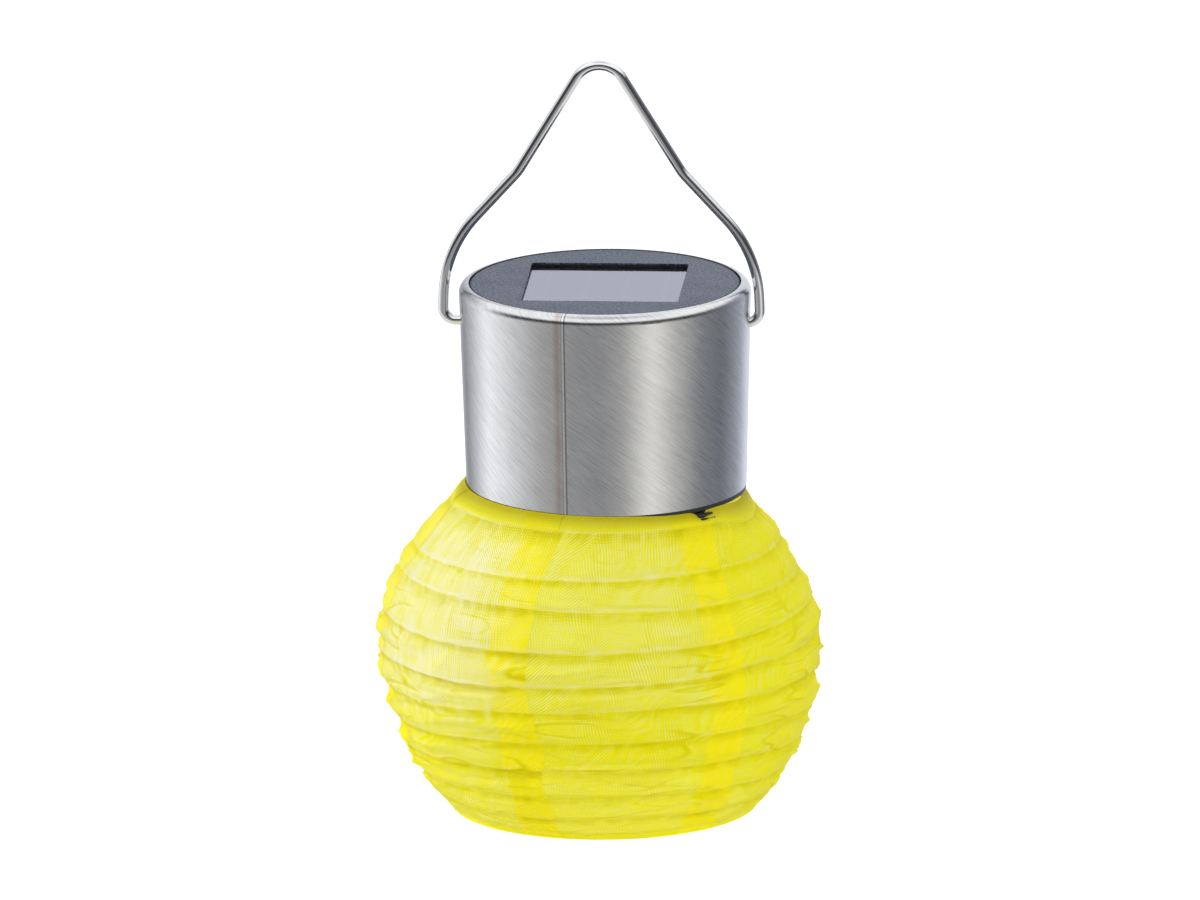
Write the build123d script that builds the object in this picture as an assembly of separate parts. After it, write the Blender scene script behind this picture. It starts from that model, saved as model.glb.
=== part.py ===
"""Solar lantern: a steel cap with a solar panel, a wire bail and a round shade of sheer fabric.

Units are millimetres. Z is up and the origin is the centre of the ring that the shade stands on.
X runs along the pivots of the bail and -Y is the front. An azimuth is counted from the front
towards +X, in degrees.
"""

import os
from math import atan, cos, degrees, pi, radians, sin, tan

from build123d import *

# Steel cap
CAP_TOP = 119.5
SLEEVE_FOOT = 73.5
SLEEVE_TOP_RADIUS = 32.5
SLEEVE_FOOT_RADIUS = 31.2
SLEEVE_WALL = 0.5
RIM_ROUND = 2.15
WELD_AZIMUTH = -12.2
WELD_WIDTH = 0.35
WELD_DEPTH = 0.12

# Bail
PIVOT_HEIGHT = 110.5
BAIL_WIRE_RADIUS = 1.15
PIVOT_CLEARANCE = 0.08
BAIL_FOOT_END = 27.7
BAIL_SLIDE = -0.8
BAIL_CORNERS = [(35.35, 0.0), (34.95, 15.9), (18.3, 34.1), (0.0, 64.0)]
BAIL_BENDS = [2.7, 28.0, 10.0, 6.0]

# Bezel and solar panel
BEZEL_TOP = 119.4
BEZEL_RADIUS = 30.25
BEZEL_FLANGE_RADIUS = 31.1
BEZEL_FLANGE_TOP = 118.0
BEZEL_UNDERSIDE = 114.9
WINDOW_OPENING = 35.0
WINDOW_RECESS = 0.9
WINDOW_SIZE = 37.4
WINDOW_THICKNESS = 1.2
CELL_THICKNESS = 0.3
CELL_STRIPS = 4
CELL_STRIP_WIDTH = 8.7
CELL_STRIP_PITCH = 8.8
CELL_LENGTH = 35.2
BOARD_SIZE = 37.0

# Plastic cup inside the sleeve
CUP_RADIUS = 30.3
CUP_WALL = 1.4
CUP_UNDERSIDE = 72.5
CUP_FLANGE_RADIUS = 31.1
FLOOR_TOP = 75.0
PILLAR_RADIUS = 2.75
PILLAR_SPOTS = [(0.0, 25.0), (-21.65, -12.5), (21.65, -12.5)]

# Battery bay
BATTERY_RADIUS = 5.25
BATTERY_LENGTH = 44.5
BATTERY_Y = 9.5
BATTERY_Z = 80.9
BAY_HALF_LENGTH = 23.55
BAY_HALF_WIDTH = 5.5
BAY_TOP = 86.3
DOOR_HALF_LENGTH = 23.5
DOOR_HALF_WIDTH = 5.9
DOOR_CORNER = 2.0
DOOR_THICKNESS = 1.3
DOOR_EAR_SPOTS = [(-10.0, 17.2), (10.0, 17.2)]
DOOR_EAR_RADIUS = 2.6

# Circuit board, lamp and switch
PCB_UNDERSIDE = 84.0
PCB_THICKNESS = 1.6
POST_SPOTS = [(-11.0, -12.5), (11.0, -12.5)]
LED_RADIUS = 2.5
LED_TIP = 68.4
SWITCH_Y = -12.0
SWITCH_TRAVEL = 3.0

# Fabric shade
FABRIC = 0.4
GORE_COUNT = 6
FIRST_SEAM_AZIMUTH = -20.0
TOP_RING_RADIUS = 32.7
TOP_RING_HEIGHT = 70.2
TOP_RING_WIRE = 0.75
BOTTOM_RING_OUTER = 33.6
BOTTOM_RING_INNER = 31.9
BOTTOM_RING_HEIGHT = 1.2
RIB_WIRE = 0.45
RIB_HEIGHTS = [61.3, 55.1, 47.7, 38.5, 30.2, 22.7, 15.5, 9.5, 3.8]
CLIP_AZIMUTHS = [47.0, 167.0, 287.0]

# Outside of the fabric from its top edge to its foot: radius and height
SHADE_PROFILE = [
    (31.85, 73.0),
    (33.3, 71.5),
    (34.2, 69.8),
    (36.4, 65.8),
    (40.5, 61.3),
    (44.6, 55.1),
    (47.7, 47.7),
    (49.2, 38.5),
    (48.8, 30.2),
    (47.3, 22.7),
    (45.0, 15.5),
    (42.4, 9.5),
    (38.6, 3.8),
    (34.2, 0.3),
]


def block(x0, x1, y0, y1, z0, z1):
    size = Box(x1 - x0, y1 - y0, z1 - z0)
    return Pos((x0 + x1) / 2, (y0 + y1) / 2, (z0 + z1) / 2) * size


def post(x, y, z0, z1, radius):
    return Pos(x, y, (z0 + z1) / 2) * Cylinder(radius, z1 - z0)


def washer(outer, inner, z0, z1):
    return post(0, 0, z0, z1, outer) - post(0, 0, z0 - 1, z1 + 1, inner)


def rod_along_x(x0, x1, y, z, radius):
    return Pos((x0 + x1) / 2, y, z) * Rot(Y=90) * Cylinder(radius, abs(x1 - x0))


def slab(half_x, half_y, corner, z0, z1):
    """An upright block with rounded corners, centred on the origin."""
    outline = RectangleRounded(2 * half_x, 2 * half_y, corner)
    return extrude(Pos(0, 0, z0) * outline, z1 - z0)


def turned(points):
    """A solid of revolution from a closed outline of (radius, height) points."""
    outline = make_face(Polyline(*points, close=True))
    return revolve(Plane.XZ * outline, Axis.Z)


def at_azimuth(azimuth, piece):
    """Turns a piece that is drawn at the front to another azimuth."""
    return Rot(Z=azimuth) * piece


def rounded_path(points, bends):
    """Straight runs joined by tangent arcs, one bend radius for each inner corner."""
    corners = [Vector(*p) for p in points]
    edges = []
    start = corners[0]
    for i, bend in enumerate(bends, start=1):
        back = (corners[i - 1] - corners[i]).normalized()
        ahead = (corners[i + 1] - corners[i]).normalized()
        half = radians(back.get_angle(ahead)) / 2
        reach = bend / tan(half)
        middle = (back + ahead).normalized() * (bend / sin(half) - bend)
        first = corners[i] + back * reach
        last = corners[i] + ahead * reach
        edges.append(Edge.make_line(start, first))
        edges.append(Edge.make_three_point_arc(first, corners[i] + middle, last))
        start = last
    edges.append(Edge.make_line(start, corners[-1]))
    return Wire(edges)


def wire_along(points, bends, radius):
    path = rounded_path(points, bends)
    section = Plane(origin=path @ 0, z_dir=path % 0) * Circle(radius)
    return sweep(section, path=path)


def sleeve_radius(height):
    share = (height - SLEEVE_FOOT) / (CAP_TOP - RIM_ROUND - SLEEVE_FOOT)
    return SLEEVE_FOOT_RADIUS + share * (SLEEVE_TOP_RADIUS - SLEEVE_FOOT_RADIUS)


def cap_sleeve():
    bend_height = CAP_TOP - RIM_ROUND
    bend_radius = SLEEVE_TOP_RADIUS - RIM_ROUND
    inner_bend = RIM_ROUND - SLEEVE_WALL
    slant = sin(radians(45))
    outline = [
        Line((SLEEVE_FOOT_RADIUS, SLEEVE_FOOT), (SLEEVE_TOP_RADIUS, bend_height)),
        ThreePointArc(
            (SLEEVE_TOP_RADIUS, bend_height),
            (bend_radius + RIM_ROUND * slant, bend_height + RIM_ROUND * slant),
            (bend_radius, CAP_TOP),
        ),
        Line((bend_radius, CAP_TOP), (bend_radius, CAP_TOP - SLEEVE_WALL)),
        ThreePointArc(
            (bend_radius, CAP_TOP - SLEEVE_WALL),
            (bend_radius + inner_bend * slant, bend_height + inner_bend * slant),
            (SLEEVE_TOP_RADIUS - SLEEVE_WALL, bend_height),
        ),
        Line(
            (SLEEVE_TOP_RADIUS - SLEEVE_WALL, bend_height),
            (SLEEVE_FOOT_RADIUS - SLEEVE_WALL, SLEEVE_FOOT),
        ),
        Line((SLEEVE_FOOT_RADIUS - SLEEVE_WALL, SLEEVE_FOOT), (SLEEVE_FOOT_RADIUS, SLEEVE_FOOT)),
    ]
    band = revolve(Plane.XZ * make_face(outline), Axis.Z)
    band -= rod_along_x(-40, 40, 0, PIVOT_HEIGHT, BAIL_WIRE_RADIUS + PIVOT_CLEARANCE)
    # The weld seam is a shallow groove that leans with the taper of the band.
    lean = degrees(atan((SLEEVE_TOP_RADIUS - SLEEVE_FOOT_RADIUS) / (bend_height - SLEEVE_FOOT)))
    middle = (SLEEVE_FOOT + bend_height) / 2
    groove = Box(WELD_WIDTH, 2 * WELD_DEPTH, bend_height - SLEEVE_FOOT + 0.4)
    groove = Pos(0, -sleeve_radius(middle), middle) * Rot(X=lean) * groove
    return band - at_azimuth(WELD_AZIMUTH, groove)


def bail_wire():
    # The loop has slid to the left by most of its end play; the feet are long enough for that.
    right = [(BAIL_SLIDE + x, 0, PIVOT_HEIGHT + h) for x, h in BAIL_CORNERS]
    left = [(BAIL_SLIDE - x, 0, PIVOT_HEIGHT + h) for x, h in reversed(BAIL_CORNERS[:-1])]
    ends = [(BAIL_FOOT_END, 0, PIVOT_HEIGHT), (-BAIL_FOOT_END, 0, PIVOT_HEIGHT)]
    bends = BAIL_BENDS + BAIL_BENDS[-2::-1]
    return wire_along([ends[0]] + right + left + [ends[1]], bends, BAIL_WIRE_RADIUS)


def panel_bezel():
    window_top = BEZEL_TOP - WINDOW_RECESS
    half_opening = WINDOW_OPENING / 2
    half_pocket = WINDOW_SIZE / 2 + 0.1
    disc = turned(
        [
            (0, BEZEL_UNDERSIDE),
            (BEZEL_FLANGE_RADIUS, BEZEL_UNDERSIDE),
            (BEZEL_FLANGE_RADIUS, BEZEL_FLANGE_TOP),
            (BEZEL_RADIUS, BEZEL_FLANGE_TOP),
            (BEZEL_RADIUS, BEZEL_TOP - 0.5),
            (BEZEL_RADIUS - 0.5, BEZEL_TOP),
            (0, BEZEL_TOP),
        ]
    )
    for x, y in PILLAR_SPOTS:
        disc += post(x, y, FLOOR_TOP, BEZEL_UNDERSIDE + 0.5, PILLAR_RADIUS)
    for x, y in PILLAR_SPOTS:
        disc -= post(x, y, FLOOR_TOP - 1, FLOOR_TOP + 9, 1.0)
    disc -= slab(half_opening, half_opening, 0.8, window_top - 1, BEZEL_TOP + 1)
    return disc - slab(half_pocket, half_pocket, 1.0, BEZEL_UNDERSIDE - 1, window_top)


def bezel_gasket():
    return washer(BEZEL_FLANGE_RADIUS, BEZEL_RADIUS + 0.1, BEZEL_FLANGE_TOP, BEZEL_FLANGE_TOP + 0.7)


def window_underside():
    return BEZEL_TOP - WINDOW_RECESS - WINDOW_THICKNESS


def cell_window():
    top = BEZEL_TOP - WINDOW_RECESS
    return slab(WINDOW_SIZE / 2, WINDOW_SIZE / 2, 0.8, window_underside(), top)


def solar_cell():
    """Silicon strips side by side, with a hair gap between neighbours."""
    top = window_underside()
    strips = []
    for i in range(CELL_STRIPS):
        x = (i - (CELL_STRIPS - 1) / 2) * CELL_STRIP_PITCH
        half = CELL_STRIP_WIDTH / 2
        end = CELL_LENGTH / 2
        strips.append(block(x - half, x + half, -end, end, top - CELL_THICKNESS, top))
    return Compound(children=strips)


def board_underside():
    return window_underside() - CELL_THICKNESS - 1.2


def solar_cell_board():
    top = window_underside() - CELL_THICKNESS
    return slab(BOARD_SIZE / 2, BOARD_SIZE / 2, 0.6, board_underside(), top)


def inner_housing():
    wall_inner = CUP_RADIUS - CUP_WALL
    cup = turned(
        [
            (0, CUP_UNDERSIDE),
            (CUP_FLANGE_RADIUS, CUP_UNDERSIDE),
            (CUP_FLANGE_RADIUS, SLEEVE_FOOT),
            (CUP_RADIUS, SLEEVE_FOOT),
            (CUP_RADIUS, BEZEL_UNDERSIDE),
            (wall_inner, BEZEL_UNDERSIDE),
            (wall_inner, FLOOR_TOP),
            (0, FLOOR_TOP),
        ]
    )
    cup += housing_bosses(wall_inner)
    cup -= battery_bay_space()
    cup -= lamp_and_switch_space()
    for x, y in PILLAR_SPOTS:
        cup -= post(x, y, CUP_UNDERSIDE - 1, FLOOR_TOP + 1, 1.2)
        cup -= post(x, y, CUP_UNDERSIDE - 1, CUP_UNDERSIDE + 1.2, 2.2)
    for x, y in POST_SPOTS:
        cup -= post(x, y, PCB_UNDERSIDE - 5, PCB_UNDERSIDE + 1, 0.8)
    for x, y in DOOR_EAR_SPOTS:
        cup -= post(x, y, CUP_UNDERSIDE - 1, 80.0, 0.9)
    # Blind pivot sockets for the ends of the bail.
    for side in (-1, 1):
        socket = BAIL_WIRE_RADIUS + PIVOT_CLEARANCE
        cup -= rod_along_x(side * 27.5, side * 33, 0, PIVOT_HEIGHT, socket)
    # Blind slots in the floor for the tongues of the shade's clips.
    for azimuth in CLIP_AZIMUTHS:
        cup -= at_azimuth(azimuth, block(-2.15, 2.15, -29.7, -28.2, CUP_UNDERSIDE - 1, 74.6))
    return cup


def housing_bosses(wall_inner):
    """Battery box, posts and pivot bosses that stand on the floor and wall of the cup."""
    box_x = BAY_HALF_LENGTH + 1
    box_y = BAY_HALF_WIDTH + 1
    bosses = block(-box_x, box_x, BATTERY_Y - box_y, BATTERY_Y + box_y, FLOOR_TOP - 1, BAY_TOP + 1)
    for x, y in POST_SPOTS:
        bosses += post(x, y, FLOOR_TOP - 1, PCB_UNDERSIDE, 1.8)
    for x, y in DOOR_EAR_SPOTS:
        bosses += post(x, y, FLOOR_TOP - 1, 81.0, 2.4)
    for side in (-1, 1):
        bosses += rod_along_x(side * 26.5, side * (wall_inner + 0.5), 0, PIVOT_HEIGHT, 2.75)
    return bosses


def door_outline(grow, z0, z1):
    plate = Pos(0, BATTERY_Y, 0) * slab(
        DOOR_HALF_LENGTH + grow, DOOR_HALF_WIDTH + grow, DOOR_CORNER + grow, z0, z1
    )
    for x, y in DOOR_EAR_SPOTS:
        plate += post(x, y, z0, z1, DOOR_EAR_RADIUS + grow)
        plate += block(
            x - DOOR_EAR_RADIUS - grow, x + DOOR_EAR_RADIUS + grow, BATTERY_Y + 4, y, z0, z1
        )
    return plate


def battery_bay_space():
    """Everything cut away for the battery: the bay, its mouth, the door's recess and the tabs."""
    low = BATTERY_Y - BAY_HALF_WIDTH
    high = BATTERY_Y + BAY_HALF_WIDTH
    space = block(-BAY_HALF_LENGTH, BAY_HALF_LENGTH, low, high, FLOOR_TOP + 0.2, BAY_TOP)
    mouth = slab(22.6, BAY_HALF_WIDTH - 0.05, 1.0, CUP_UNDERSIDE - 1, FLOOR_TOP + 1)
    space += Pos(0, BATTERY_Y, 0) * mouth
    space += door_outline(0.15, CUP_UNDERSIDE - 1, CUP_UNDERSIDE + DOOR_THICKNESS + 0.1)
    space += block(22.95, BAY_HALF_LENGTH, BATTERY_Y - 1.7, BATTERY_Y + 1.7, BAY_TOP - 1, BAY_TOP + 2)
    space += post(-23.25, 13.1, BAY_TOP - 1, BAY_TOP + 2, 0.35)
    return space


def lamp_and_switch_space():
    space = post(0, 0, CUP_UNDERSIDE - 1, FLOOR_TOP + 1, LED_RADIUS + 0.15)
    slot = block(-2.7, 2.7, SWITCH_Y - 1.3, SWITCH_Y + 1.3, CUP_UNDERSIDE - 1, FLOOR_TOP + 1)
    finger = slab(5.5, 2.6, 1.0, CUP_UNDERSIDE - 1, CUP_UNDERSIDE + 1.0)
    return space + slot + Pos(0, SWITCH_Y, 0) * finger


def countersunk_screw(x, y, seat, head_radius, head, shank_radius, length):
    """A screw that points up from its seat, with a cross cut in its head."""
    screw = post(x, y, seat, seat + head, head_radius)
    screw += post(x, y, seat, seat + head + length, shank_radius)
    arm = head_radius * 0.6
    screw -= block(x - arm, x + arm, y - 0.25, y + 0.25, seat - 1, seat + head * 0.5)
    return screw - block(x - 0.25, x + 0.25, y - arm, y + arm, seat - 1, seat + head * 0.5)


def cup_screws():
    seat = CUP_UNDERSIDE + 0.1
    return Compound(
        children=[countersunk_screw(x, y, seat, 2.0, 1.1, 1.0, 9.0) for x, y in PILLAR_SPOTS]
    )


def battery():
    start = -BATTERY_LENGTH / 2
    profile = make_face(
        Polyline(
            (0, start),
            (4.6, start),
            (5.25, start + 0.6),
            (5.25, start + 43.0),
            (4.7, start + 43.5),
            (1.9, start + 43.5),
            (1.9, start + BATTERY_LENGTH),
            (0, start + BATTERY_LENGTH),
            close=True,
        )
    )
    upright = revolve(Plane.XZ * profile, Axis.Z)
    centre = BAY_HALF_LENGTH - 0.4 - BATTERY_LENGTH / 2
    return Pos(centre, BATTERY_Y, BATTERY_Z) * Rot(Y=90) * upright


def battery_contact_plate():
    inner = BAY_HALF_LENGTH - 0.4
    plate = block(inner, BAY_HALF_LENGTH, BATTERY_Y - 4, BATTERY_Y + 4, 76.5, 85.5)
    tab = block(inner, BAY_HALF_LENGTH, BATTERY_Y - 1.5, BATTERY_Y + 1.5, 85.0, 90.0)
    return plate + tab


def battery_contact_spring():
    """A conical spring whose tail rises through the roof of the bay."""
    wall = -BAY_HALF_LENGTH + 0.27
    turns = 3
    steps = 8
    points = [(wall, BATTERY_Y + 3.6, 90.0), (wall, BATTERY_Y + 3.6, BATTERY_Z + 1.6)]
    count = turns * steps
    for i in range(1, count + 1):
        angle = -2 * pi * i / steps
        radius = 3.6 - 1.5 * i / count
        x = wall + 1.66 * i / count
        points.append((x, BATTERY_Y + radius * cos(angle), BATTERY_Z + radius * sin(angle)))
    bends = [1.8] + [(3.6 - 1.5 * i / count) * 0.88 for i in range(1, count)]
    return wire_along(points, bends, 0.25)


def circuit_board():
    board = block(-14, 14, -15, 2.4, PCB_UNDERSIDE, PCB_UNDERSIDE + PCB_THICKNESS)
    for x, y in POST_SPOTS:
        board -= post(x, y, PCB_UNDERSIDE - 1, PCB_UNDERSIDE + 3, 0.9)
    return board


def board_screws():
    top = PCB_UNDERSIDE + PCB_THICKNESS
    screws = []
    for x, y in POST_SPOTS:
        screw = post(x, y, top, top + 1.0, 1.6) + post(x, y, top - 6.0, top, 0.8)
        screws.append(screw - block(x - 1, x + 1, y - 0.2, y + 0.2, top + 0.5, top + 2))
    return Compound(children=screws)


def driver_chip():
    top = PCB_UNDERSIDE + PCB_THICKNESS
    chip = block(-8.5, -3.5, -7, -3, top + 0.2, top + 1.7)
    for x in (-7.9, -6.6, -5.4, -4.1):
        for y0, y1 in ((-8.0, -7.0), (-3.0, -2.0)):
            chip += block(x - 0.2, x + 0.2, y0, y1, top, top + 0.4)
    return chip


def inductor():
    top = PCB_UNDERSIDE + PCB_THICKNESS
    level = top + 1.9
    body = rod_along_x(-3.5, 3.5, -11.5, level, 1.5)
    leads = wire_along(
        [(-5.5, -11.5, top), (-5.5, -11.5, level), (5.5, -11.5, level), (5.5, -11.5, top)],
        [1.2, 1.2],
        0.3,
    )
    return body + leads


def led():
    dome_centre = LED_TIP + LED_RADIUS
    lens = post(0, 0, dome_centre, LED_TIP + 8.6, LED_RADIUS)
    lens += Pos(0, 0, dome_centre) * Sphere(LED_RADIUS)
    return lens + post(0, 0, LED_TIP + 7.6, LED_TIP + 8.6, 2.9)


def led_leads():
    legs = [
        block(x - 0.25, x + 0.25, -0.25, 0.25, LED_TIP + 8.6, PCB_UNDERSIDE) for x in (-1.27, 1.27)
    ]
    return Compound(children=legs)


def switch_body():
    can = block(-4.5, 4.5, SWITCH_Y - 2.2, SWITCH_Y + 2.2, FLOOR_TOP, 79.2)
    can -= block(-4.1, 4.1, SWITCH_Y - 1.8, SWITCH_Y + 1.8, FLOOR_TOP + 0.6, 78.4)
    return can - block(-2.7, 2.7, SWITCH_Y - 1.2, SWITCH_Y + 1.2, FLOOR_TOP - 1, FLOOR_TOP + 1)


def switch_pins():
    pins = [
        block(x - 0.3, x + 0.3, SWITCH_Y - 0.3, SWITCH_Y + 0.3, 79.2, PCB_UNDERSIDE)
        for x in (-2.5, 0.0, 2.5)
    ]
    return Compound(children=pins)


def switch_slider():
    """The slider at its off end: a plate in the switch and a ribbed knob under the cap."""
    x = -SWITCH_TRAVEL / 2
    slider = block(x - 2.4, x + 2.4, SWITCH_Y - 1.6, SWITCH_Y + 1.6, 75.8, 76.8)
    slider += block(x - 1.0, x + 1.0, SWITCH_Y - 1.0, SWITCH_Y + 1.0, 71.8, 76.0)
    for offset in (-0.7, 0.0, 0.7):
        slider += block(x + offset - 0.15, x + offset + 0.15, SWITCH_Y - 1.0, SWITCH_Y + 1.0, 71.6, 72)
    return slider


def battery_door():
    door = door_outline(0, CUP_UNDERSIDE, CUP_UNDERSIDE + DOOR_THICKNESS)
    for x, y in DOOR_EAR_SPOTS:
        door -= post(x, y, CUP_UNDERSIDE - 1, CUP_UNDERSIDE + 3, 1.1)
        door -= post(x, y, CUP_UNDERSIDE - 1, CUP_UNDERSIDE + 0.6, 1.9)
    # Finger grooves near one end.
    for x in (-19.0, -17.5, -16.0):
        door -= block(x - 0.3, x + 0.3, BATTERY_Y - 3, BATTERY_Y + 3, 70, CUP_UNDERSIDE + 0.3)
    return door


def door_screws():
    seat = CUP_UNDERSIDE
    return Compound(
        children=[countersunk_screw(x, y, seat, 1.8, 0.6, 0.85, 5.0) for x, y in DOOR_EAR_SPOTS]
    )


def cell_lead(side):
    points = [
        (side * 5, -4, board_underside()),
        (side * 5, -4, 106),
        (side * 9, -9, 95),
        (side * 9, -9, PCB_UNDERSIDE + PCB_THICKNESS),
    ]
    return wire_along(points, [12, 12], 0.55)


def battery_lead(start_x, start_y):
    """A lead from a battery contact's tab over to the nearer end of the circuit board."""
    board_x = 12 if start_x > 0 else -12
    points = [
        (start_x, start_y, 88.9),
        (start_x, -2, 88.9),
        (board_x, -3, 95),
        (board_x, -3, PCB_UNDERSIDE + PCB_THICKNESS),
    ]
    return wire_along(points, [4, 3], 0.55)


def top_ring():
    return Pos(0, 0, TOP_RING_HEIGHT) * Torus(TOP_RING_RADIUS, TOP_RING_WIRE)


def bottom_ring():
    """A flat hoop with its two upper edges eased."""
    return turned(
        [
            (BOTTOM_RING_INNER, 0),
            (BOTTOM_RING_OUTER, 0),
            (BOTTOM_RING_OUTER, BOTTOM_RING_HEIGHT - 0.3),
            (BOTTOM_RING_OUTER - 0.3, BOTTOM_RING_HEIGHT),
            (BOTTOM_RING_INNER + 0.3, BOTTOM_RING_HEIGHT),
            (BOTTOM_RING_INNER, BOTTOM_RING_HEIGHT - 0.3),
        ]
    )


def profile_radius(height):
    """The outside radius of the fabric at a height, between the points of its profile."""
    for (r0, z0), (r1, z1) in zip(SHADE_PROFILE, SHADE_PROFILE[1:]):
        if z1 <= height <= z0:
            return r1 + (r0 - r1) * (height - z1) / (z0 - z1)
    raise ValueError(height)


def rib_ring(height):
    radius = profile_radius(height) - FABRIC - RIB_WIRE - 0.15
    return Pos(0, 0, height) * Torus(radius, RIB_WIRE)


def clip_shape(grow):
    """One clip drawn at the front: jaws for the ring and a tongue for the cap's floor."""
    half = 2.0 + grow
    jaws = block(-half, half, -33.3 - grow, -30.9 + grow, 69.1 - grow, 71.3 + grow)
    arm = block(-half, half, -32.5 - grow, -28.35 + grow, 70.8 - grow, 72.15 + grow)
    return jaws + arm + block(-half, half, -29.55 - grow, -28.35 + grow, 72.1, 74.35 + grow)


def shade_clips():
    clip = clip_shape(0) - top_ring()
    return Compound(children=[at_azimuth(azimuth, clip) for azimuth in CLIP_AZIMUTHS])


def inward(points, distance):
    """The same line moved towards the axis, square to its own direction."""
    moved = []
    for i, (r, z) in enumerate(points):
        r0, z0 = points[max(i - 1, 0)]
        r1, z1 = points[min(i + 1, len(points) - 1)]
        length = ((r1 - r0) ** 2 + (z1 - z0) ** 2) ** 0.5
        moved.append((r + (z1 - z0) / length * distance, z - (r1 - r0) / length * distance))
    return moved


def shade_gore(index):
    """One panel of the shade, a sixth of a turn of thin shell between two seams."""
    outer = Spline(*SHADE_PROFILE)
    inner_points = inward(SHADE_PROFILE, FABRIC)
    inner = Spline(*inner_points)
    outline = [
        outer,
        Line(SHADE_PROFILE[-1], inner_points[-1]),
        inner,
        Line(inner_points[0], SHADE_PROFILE[0]),
    ]
    step = 360 / GORE_COUNT
    shell = revolve(Plane.XZ * make_face(outline), Axis.Z, revolution_arc=step)
    # The shell starts at +X, which is a quarter turn from the front.
    shell = at_azimuth(FIRST_SEAM_AZIMUTH + index * step - 90, shell)
    for azimuth in CLIP_AZIMUTHS:
        shell -= at_azimuth(azimuth, clip_shape(0.15))
    return shell


def all_pieces():
    pieces = {
        "cap_sleeve": cap_sleeve(),
        "panel_bezel": panel_bezel(),
        "bezel_gasket": bezel_gasket(),
        "cell_window": cell_window(),
        "solar_cell": solar_cell(),
        "solar_cell_board": solar_cell_board(),
        "inner_housing": inner_housing(),
        "cup_screws": cup_screws(),
        "battery": battery(),
        "battery_contact_plate": battery_contact_plate(),
        "battery_contact_spring": battery_contact_spring(),
        "circuit_board": circuit_board(),
        "board_screws": board_screws(),
        "driver_chip": driver_chip(),
        "inductor": inductor(),
        "led": led(),
        "led_leads": led_leads(),
        "switch_body": switch_body(),
        "switch_pins": switch_pins(),
        "cell_lead_red": cell_lead(1),
        "cell_lead_black": cell_lead(-1),
        "battery_lead_red": battery_lead(22.6, 10.5),
        "battery_lead_black": battery_lead(-22.45, 13.1),
        "bail_wire": bail_wire(),
        "switch_slider": switch_slider(),
        "battery_door": battery_door(),
        "door_screws": door_screws(),
        "top_ring": top_ring(),
        "bottom_ring": bottom_ring(),
        "shade_clips": shade_clips(),
    }
    for i, height in enumerate(RIB_HEIGHTS, start=1):
        pieces[f"rib_ring_{i}"] = rib_ring(height)
    for i in range(GORE_COUNT):
        pieces[f"shade_gore_{i + 1}"] = shade_gore(i)
    return pieces


os.makedirs("parts", exist_ok=True)
for name, piece in all_pieces().items():
    export_step(piece, f"parts/{name}.step")
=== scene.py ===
"""Looks of the solar lantern: a steel cap with a wire bail over a round shade of sheer fabric.

Lengths are in metres in the part's own frame. An azimuth is counted from the front (-Y)
towards +X.
"""

import math

import bpy
from mathutils import Matrix, Vector, noise


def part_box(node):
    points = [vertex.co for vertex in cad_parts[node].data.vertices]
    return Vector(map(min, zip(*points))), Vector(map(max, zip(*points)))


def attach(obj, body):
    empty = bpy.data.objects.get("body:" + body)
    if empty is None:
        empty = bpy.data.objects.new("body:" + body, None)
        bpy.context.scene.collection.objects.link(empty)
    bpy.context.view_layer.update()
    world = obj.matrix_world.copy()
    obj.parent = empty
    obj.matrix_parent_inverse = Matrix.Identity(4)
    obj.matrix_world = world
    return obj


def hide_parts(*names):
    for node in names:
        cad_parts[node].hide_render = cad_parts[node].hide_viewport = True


MM = 0.001

# Sleeve: azimuth of the weld, radius, and slant of the brushing; angles in degrees
WELD_AZIMUTH = -12.2
SLEEVE_RADIUS = 0.032
HAIRLINE_SLANT = 36
# Heights between which the bezel's window pocket is painted black as shade
POCKET_SHADE_HEIGHTS = (0.1188, 0.1194)
# Solar cell: half the spacing of the silver fingers, and of the bus lines
FINGER_STEP = 0.0007
BUS_STEP = 0.0044

# Camera
CAMERA_AZIMUTH = 4.3
CAMERA_ELEVATION = 14.2
CAMERA_ROLL = 0.5
CAMERA_DISTANCE = 9.0
CAMERA_LENS = 1213.0
AIM_HEIGHT = 80.9 * MM
AIM_ASIDE = 1.4 * MM

# Soft light on everything, the white floor's own light, and how bright the floor itself looks
SOFT_LIGHT = 0.98
FLOOR_GLOW = 0.8
FLOOR_SEEN = 0.97
FLOOR_SIZE = 4.0
FLOOR_DROP = 0.2 * MM
# The panels that shiny surfaces reflect: azimuth, brightness and how blue
STUDIO_PANELS = [
    (-180, 0.92, 0.12),
    (-150, 0.30, 0.08),
    (-130, 0.66, 0.06),
    (-106, 1.32, 0.04),
    (-80, 0.93, 0.03),
    (-50, 0.50, 0.0),
    (-30, 0.40, 0.02),
    (0, 0.34, 0.03),
    (18, 0.46, 0.0),
    (42, 1.12, -0.04),
    (62, 0.64, -0.02),
    (85, 0.29, 0.08),
    (112, 0.20, 0.16),
    (140, 0.46, 0.16),
    (160, 0.90, 0.14),
    (180, 0.92, 0.12),
]

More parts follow.
